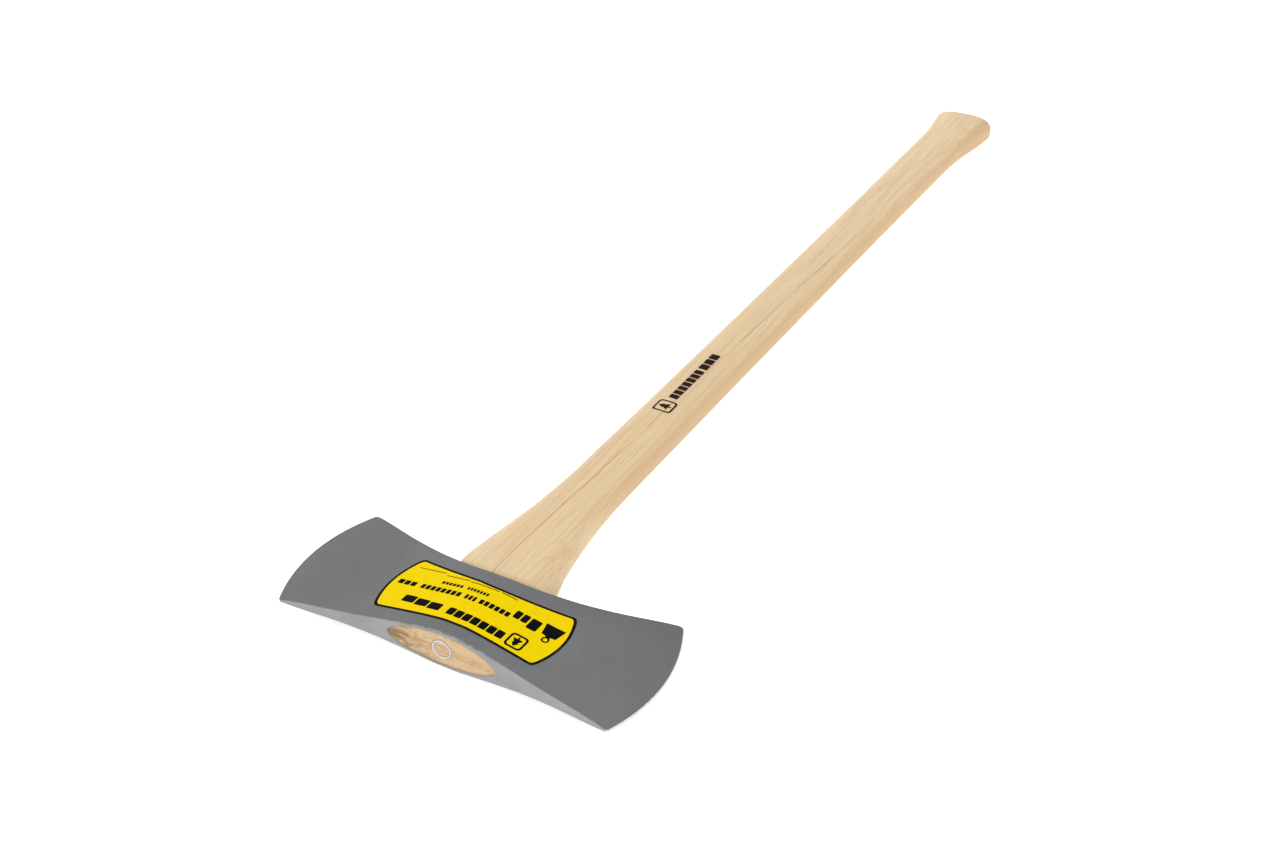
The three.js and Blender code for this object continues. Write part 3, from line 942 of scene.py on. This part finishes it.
def make_handle():
    tongue = [tongue_ring(y) for y in spread(TONGUE_RECESS, LAST_TONGUE_DEPTH, 12) + [SHOULDER]]
    neck = [body_ring(y) for y in spread(BODY_START, GRIP_START, 44)]
    grip = [body_ring(y) for y in spread(GRIP_START, GRIP_END, 48)[1:]]
    swell = [body_ring(y) for y in spread(GRIP_END, HANDLE_LENGTH - BUTT_ROUND, 28)[1:]]
    rounding = []
    for k in range(1, ROUNDING_STEPS + 1):
        turn = math.pi / 2 * k / ROUNDING_STEPS
        y = HANDLE_LENGTH - BUTT_ROUND * (1 - math.sin(turn))
        rounding.append(body_ring(y, BUTT_ROUND * (1 - math.cos(turn))))
    top_cap = cap_rings(tongue[0], sawn_relief)[::-1]
    butt_cap = cap_rings(rounding[-1], butt_relief)
    rings = top_cap + tongue + neck + grip + swell + rounding + butt_cap
    first_body = len(top_cap)
    last_body = len(rings) - len(butt_cap) - 1
    rubbed = range(last_body - len(rounding), last_body + 1)

    def kind_at(r):
        if r < first_body:
            return 1
        return 2 if r >= last_body else 0

    surface = Surface()
    loft(surface, rings, kind_at, lambda r: int(r in rubbed or r == first_body))
    materials = [hickory(), end_grain("tongue_end", (0.51, 0.37, 0.215), (0.4, 0.25, 0.115), 0.75),
                 end_grain("butt_end", (0.57, 0.42, 0.25), (0.45, 0.3, 0.16), 0.1)]
    handle = surface.make("handle_body", materials, sharp=40)
    cut(handle, kerf_cutter())
    cut(handle, groove_cutter())
    return finish_piece(handle, "handle_wood", "handle")


WEDGE_TIPS = 0.998
WEDGE_END_STEPS = 8
WEDGE_SIDE_STEPS = 14


def wedge_ring(share):
    """Closed outline of the wedge's section at a share (-1 to 1) of its length: torn end, one face,
    thin end, other face. Its ends follow the eye."""

    def across_at(y):
        return EYE_X + share * (eye_length_at(y) - WEDGE_END_FIT)

    def half_at(y):
        return min(kerf_half_at(y), eye_half_thickness(share, y)) - WEDGE_FIT * (1 - share * share)

    start = TONGUE_RECESS - 0.1 - near_rise(across_at(0))
    points = []
    for z in spread(-1, 1, WEDGE_END_STEPS):
        relief = 1.4 * sawn_relief(share * 65 + 20, z * KERF_TOP + 9) * (1 - z * z)
        points.append((across_at(start), start + relief, z * half_at(start)))
    sides = spread(start, WEDGE_DEPTH, WEDGE_SIDE_STEPS)
    points += [(across_at(y), y, half_at(y)) for y in sides[1:]]
    points += [(across_at(y), y, -half_at(y)) for y in sides[:0:-1]]
    return points


def make_wood_wedge():
    surface = Surface()
    tip = math.asin(WEDGE_TIPS)
    loft(surface, [wedge_ring(math.sin(turn)) for turn in spread(-tip, tip, 72)])
    material = end_grain("wedge_end", (0.48, 0.33, 0.18), (0.345, 0.205, 0.092), 0.9)
    wedge = surface.make("wedge_wood", [material], sharp=50)
    cut(wedge, groove_cutter())
    return finish_piece(wedge, "wedge_wood", "wood_wedge")


def make_ring_wedge():
    surface = Surface()
    top = TONGUE_RECESS - RING_PROUD
    outline = tube_outline(RING_OUTER, RING_OUTER - RING_WALL, top, RING_DEPTH, RING_EDGE, RING_ROUND)

    def hammered(angle, y):
        if y > top + 1:
            return 0
        return 0.1 * noise.noise(Vector((math.cos(angle) * 2.5, math.sin(angle) * 2.5, 7.7))) - 0.05

    sweep_tube(surface, outline, hammered, lambda j: int(j < 2))
    ring = surface.make("ring_wedge_steel", [ring_steel()], sharp=50)
    return finish_piece(ring, "ring_steel", "ring_wedge")


make_handle()
make_wood_wedge()
make_ring_wedge()

# ---------------------------------------- print shapes

LONGEST_PIECE = 2.5


def arc_points(centre, radius, start, end, steps):
    angles = spread(start, end, steps)
    return [(centre[0] + radius * math.cos(angle), centre[1] + radius * math.sin(angle)) for angle in angles]


def refined(loop):
    """The same closed outline with no straight piece longer than LONGEST_PIECE."""
    points = []
    for a, b in zip(loop, loop[1:] + loop[:1]):
        steps = max(1, math.ceil(math.dist(a, b) / LONGEST_PIECE))
        points += [(blend(a[0], b[0], k / steps), blend(a[1], b[1], k / steps)) for k in range(steps)]
    return points


def rounded_box(left, low, right, high, radius, steps):
    """Closed outline of a box with rounded corners."""
    quarter = math.pi / 2
    corners = [((right - radius, high - radius), 0), ((left + radius, high - radius), 1),
               ((left + radius, low + radius), 2), ((right - radius, low + radius), 3)]
    outline = []
    for centre, turn in corners:
        outline += arc_points(centre, radius, turn * quarter, (turn + 1) * quarter, steps)
    return outline


def blocks(start, end, count, gap, low_at, height, radius):
    """A row of rounded blocks between two positions, at a height that may change along it."""
    width = (end - start - gap * (count - 1)) / count
    outlines = []
    for k in range(count):
        left = start + k * (width + gap)
        low = low_at(left + width / 2)
        outlines.append(rounded_box(left, low, left + width, low + height, radius, 2))
    return outlines


def turned(points, x, y, up):
    """Points of a sign drawn upright about its middle, moved to (x, y) with its top towards up."""
    return [(x - px * up[1] + py * up[0], y + px * up[0] + py * up[1]) for px, py in points]


def tree_sign(size):
    """A plain fir tree: two stacked triangles on a trunk."""
    half = [(0, 0.5), (0.3, 0.12), (0.16, 0.12), (0.4, -0.28), (0.07, -0.28), (0.07, -0.5)]
    outline = half + [(-x, y) for x, y in half[:0:-1]]
    return [(x * size, y * size) for x, y in outline]


def tree_badge(x, y, half_x, half_y, line, inner_round, tree_size, up):
    """A fir tree in a rounded frame."""
    loops = []
    for inset, radius in ((0, BADGE_ROUND), (line, inner_round)):
        dx = half_x - inset
        dy = half_y - inset
        loops.append(rounded_box(x - dx, y - dy, x + dx, y + dy, radius, 4))
    return loops + [turned(tree_sign(tree_size), x, y, up)]


def weight_sign(size):
    """A plain market weight: a tapered block with a round handle on top."""
    block = [(-0.44, -0.5), (0.44, -0.5), (0.32, 0.1), (0.1, 0.14), (0.1, 0.2)]
    handle = arc_points((0, 0.33), 0.17, -0.9, math.pi + 0.9, 14)
    outline = block + handle + [(-0.1, 0.2), (-0.1, 0.14), (-0.32, 0.1)]
    return [(x * size, y * size) for x, y in outline]


def extent(loop):
    xs = [point[0] for point in loop]
    ys = [point[1] for point in loop]
    return min(xs), max(xs), min(ys), max(ys)


def inside_loop(point, loop, box):
    left, right, low, high = box
    if not (left < point.x < right and low < point.y < high):
        return False
    inside = False
    for (ax, ay), (bx, by) in zip(loop, loop[1:] + loop[:1]):
        if (ay > point.y) != (by > point.y) and point.x < ax + (point.y - ay) * (bx - ax) / (by - ay):
            inside = not inside
    return inside


def make_print(name, loops, outline, place_at, materials, spacing, thickness):
    """A thin sheet over a curved surface, split along its printed shapes.

    place_at gives (x, y, z) of a flat point's underside. A point takes the second material where it
    lies inside an odd number of loops. Without an outline, only those parts are made."""
    loops = [refined(loop) for loop in loops]
    boxes = [extent(loop) for loop in loops]
    borders = loops + [refined(outline)] if outline else loops
    points = []
    edges = []
    for loop in borders:
        start = len(points)
        points += [Vector(point) for point in loop]
        edges += [(start + k, start + (k + 1) % len(loop)) for k in range(len(loop))]
    left, right, low, high = extent([point for loop in borders for point in loop])
    for x in spread(left, right, int((right - left) / spacing))[1:-1]:
        for y in spread(low, high, int((high - low) / spacing))[1:-1]:
            points.append(Vector((x, y)))
    flat_points, _, flat_faces = geometry.delaunay_2d_cdt(points, edges, [], 0, 1e-4)[:3]
    surface = Surface()
    kept = []
    rim = set()
    for face in flat_faces:
        centre = sum((flat_points[k] for k in face), Vector((0, 0))) / len(face)
        inked = sum(inside_loop(centre, loop, box) for loop, box in zip(loops, boxes)) % 2
        covered = inside_loop(centre, borders[-1], extent(borders[-1])) if outline else inked
        if not covered:
            continue
        kept.append((face, inked))
        for a, b in zip(face, list(face[1:]) + [face[0]]):
            rim ^= {(min(a, b), max(a, b))}
    edge_points = {k for pair in rim for k in pair}
    top = {}
    base = {}
    for face, inked in kept:
        for k in face:
            if k not in top:
                x, y, z = place_at(*flat_points[k])
                mark = int(k in edge_points)
                top[k] = surface.add_point(x, y, z + thickness, mark)
                base[k] = surface.add_point(x, y, z, mark)
        surface.add_face([top[k] for k in face], inked)
        surface.add_face([base[k] for k in reversed(face)], inked)
    for a, b in rim:
        surface.add_face((top[a], base[a], base[b], top[b]), 0)
    return surface.make(name, materials, sharp=40)


# ---------------------------------------- label


def label_near(x):
    return LABEL_NEAR - LABEL_NEAR_BOW * ((x - LABEL_X) / LABEL_HALF) ** 2


def label_far(x):
    return LABEL_FAR + LABEL_FAR_BOW * (abs(x - LABEL_FAR_MIDDLE) / LABEL_HALF) ** LABEL_FAR_POWER


def curve(start, control, end, steps):
    """Points of a quadratic curve, without its first."""
    points = []
    for t in spread(0, 1, steps)[1:]:
        toward = [blend(a, b, t) for a, b in zip(start, control)]
        away = [blend(b, c, t) for b, c in zip(control, end)]
        points.append(tuple(blend(a, b, t) for a, b in zip(toward, away)))
    return points


def label_outline(inset):
    """The label's edge, or the same line moved inwards."""
    left = LABEL_X - LABEL_HALF + inset
    right = LABEL_X + LABEL_HALF - inset
    corner = LABEL_CORNER - inset * 0.5
    near_side = [(x, label_near(x) + inset) for x in spread(left + corner, right - corner, 24)]
    far_side = [(x, label_far(x) - inset) for x in spread(right - corner, left + corner, 24)]
    right_end = label_end(right, 1, near_side[-1], far_side[0], corner)
    left_end = label_end(left, -1, far_side[-1], near_side[0], corner)
    return near_side + right_end + far_side + left_end


def label_end(x, outward, first, last, corner):
    """Points between two long sides: a rounded corner, the bulging end and another corner."""
    start, end = first[1], last[1]
    turn = math.copysign(1, end - start)
    leave = (x, start + turn * corner)
    arrive = (x, end - turn * corner)
    bulge = (x + 2 * outward * LABEL_END_BULGE, (start + end) / 2)
    pulled = x - outward * corner * 2 * LABEL_END_BULGE / (abs(end - start) / 2 - corner)
    points = curve(first, (pulled, start), leave, 5) + curve(leave, bulge, arrive, 18)
    return points + curve(arrive, (pulled, end), last, 5)[:-1]


def title_low(x):
    return TITLE_LOW + TITLE_BOW * ((31 - x) / 76) ** 2


def fine_low(x):
    return FINE_LOW + 0.0014 * x * x


def make_label():
    sign_up = (0, -1)
    loops = [label_outline(LABEL_BORDER)]
    loops += tree_badge(BADGE_X, BADGE_Y, BADGE_HALF_LENGTH, BADGE_HALF_HEIGHT, BADGE_LINE, 1.6, 8.6, sign_up)
    loops += blocks(-10, 31, 7, 0.7, title_low, TITLE_HEIGHT, 0.8)
    loops += blocks(-45, -15.5, 3, 0.9, title_low, TITLE_HEIGHT, 0.8)
    for start, end, count in ((2, 23.7, 6), (-8.6, -0.6, 3), (-42, -12, 8), (-59.4, -46, 3)):
        loops += blocks(start, end, count, 0.8, lambda x: SECOND_LOW, SECOND_HEIGHT, 0.5)
    for start, end, count in ((-12, 3.7, 7), (-31.3, -15.5, 6)):
        loops += blocks(start, end, count, 0.6, lambda x: THIRD_LOW, THIRD_HEIGHT, 0.35)
    for start, end in ((9, 20.6), (-14, 7.4), (-33, -15.6), (-55.6, -34.6)):
        loops += blocks(start, end, 1, 0, fine_low, FINE_HEIGHT, 0.2)
    loops.append(turned(weight_sign(WEIGHT_SIZE), WEIGHT_X, WEIGHT_Y, sign_up))
    handle_middle = (WEIGHT_X, WEIGHT_Y - 0.33 * WEIGHT_SIZE)
    loops.append(arc_points(handle_middle, 0.09 * WEIGHT_SIZE, 0, math.tau * 15 / 16, 15))
    loops += blocks(36.5, 43.5, 1, 0, lambda x: 33, 9.5, 0.9)
    loops += blocks(25.5, 35.3, 2, 0.9, lambda x: 35.5, 7, 0.9)

    def place_at(flat_x, y):
        x = flat_x + LABEL_LEAN * (y - (LABEL_NEAR + LABEL_FAR) / 2)
        u = share_at(x, 0.5)
        for _ in range(3):
            v = (y - head_low(u)) / (head_high(u) - head_low(u))
            u = share_at(x, v)
        return x, y, cheek_at(abs(u)) + LABEL_BASE

    # Ink covers what the loops leave: the border line round the yellow field, and the shapes in it.
    ink = printed_vinyl("label_black", (0.002, 0.002, 0.002), (0.004, 0.004, 0.004), (0.04, 0.036, 0.025))
    field = printed_vinyl("label_yellow", (0.7, 0.52, 0.0), (0.67, 0.49, 0.0), (0.68, 0.56, 0.12))
    edge = label_outline(0)
    thickness = LABEL_TOP - LABEL_BASE
    label = make_print("label_sheet", loops, edge, place_at, [ink, field], LABEL_SPACING, thickness)
    return finish_piece(label, "label_vinyl", "face_label")


make_label()

# ---------------------------------------- stamp on the handle


def make_stamp():
    end = STAMP_START + STAMP_BOX
    half = STAMP_BOX / 2
    loops = tree_badge(0, STAMP_START + half, half, half, STAMP_LINE, 1.8, 10, (-1, 0))
    for start, finish, count in ((end + 4.3, end + 48.5, 7), (end + 51, end + 75, 3)):
        row = blocks(start, finish, count, 1.0, lambda y: -STAMP_HALF_WIDTH, 2 * STAMP_HALF_WIDTH, 0.8)
        loops += [[(x, y) for y, x in block] for block in row]

    def place_at(x, y):
        power = 2 / BODY_POWER
        sideways = x + STAMP_ACROSS
        share = abs(sideways) / body_width_at(y)
        height = body_thickness_at(y) * (1 - share ** power) ** (1 / power)
        return centre_at(y) + sideways, y, height + STAMP_LIFT

    ink = stamp_ink()
    stamp = make_print("handle_stamp", loops, None, place_at, [ink, ink], STAMP_SPACING, STAMP_THICKNESS)
    return finish_piece(stamp, "handle_wood")


make_stamp()

# ---------------------------------------- stage and light


FLOOR_HALF = 14
FLOOR_DROP = 0.0002


def make_floor():
    mesh = bpy.data.meshes.new("floor")
    corners = [(x * FLOOR_HALF, y * FLOOR_HALF, 0) for x, y in ((-1, -1), (1, -1), (1, 1), (-1, 1))]
    mesh.from_pydata(corners, [], [(0, 1, 2, 3)])
    m = Nodes("floor_paper")
    tone = m.noise(m.place(), 3, 2)
    m.colour(m.mix(m.remap(tone, 0.3, 0.7), (0.8, 0.8, 0.8), (0.84, 0.84, 0.84)))
    m.set(Roughness=0.9, Specular_IOR_Level=0.1, Emission_Color=(1, 1, 1, 1), Emission_Strength=0.6)
    mesh.materials.append(m.material)
    floor = add_object("floor", mesh)
    floor.location.z = -FLOOR_DROP


def make_light(name, place_at, aim_at, size, power):
    data = bpy.data.lights.new(name, "AREA")
    data.shape = "RECTANGLE"
    data.size, data.size_y = size
    data.energy = power
    light = add_object(name, data)
    direction = Vector(aim_at) - Vector(place_at)
    turn = direction.to_track_quat("-Z", "Y").to_matrix().to_4x4()
    light.matrix_world = Matrix.Translation(place_at) @ turn


def make_world():
    world = bpy.data.worlds.new("studio")
    world.use_nodes = True
    world.node_tree.nodes["Background"].inputs["Color"].default_value = (1, 1, 1, 1)
    world.node_tree.nodes["Background"].inputs["Strength"].default_value = 1.2
    bpy.context.scene.world = world


make_floor()
make_world()
make_light("front_box", (-1.6, -2.6, 1.3), (0, -0.3, 0), (2.4, 1.6), 17)
make_light("top_box", (-1.2, 0.6, 2.2), (0, 0, 0), (2.2, 2.2), 6)
bpy.context.scene.view_settings.view_transform = "Standard"
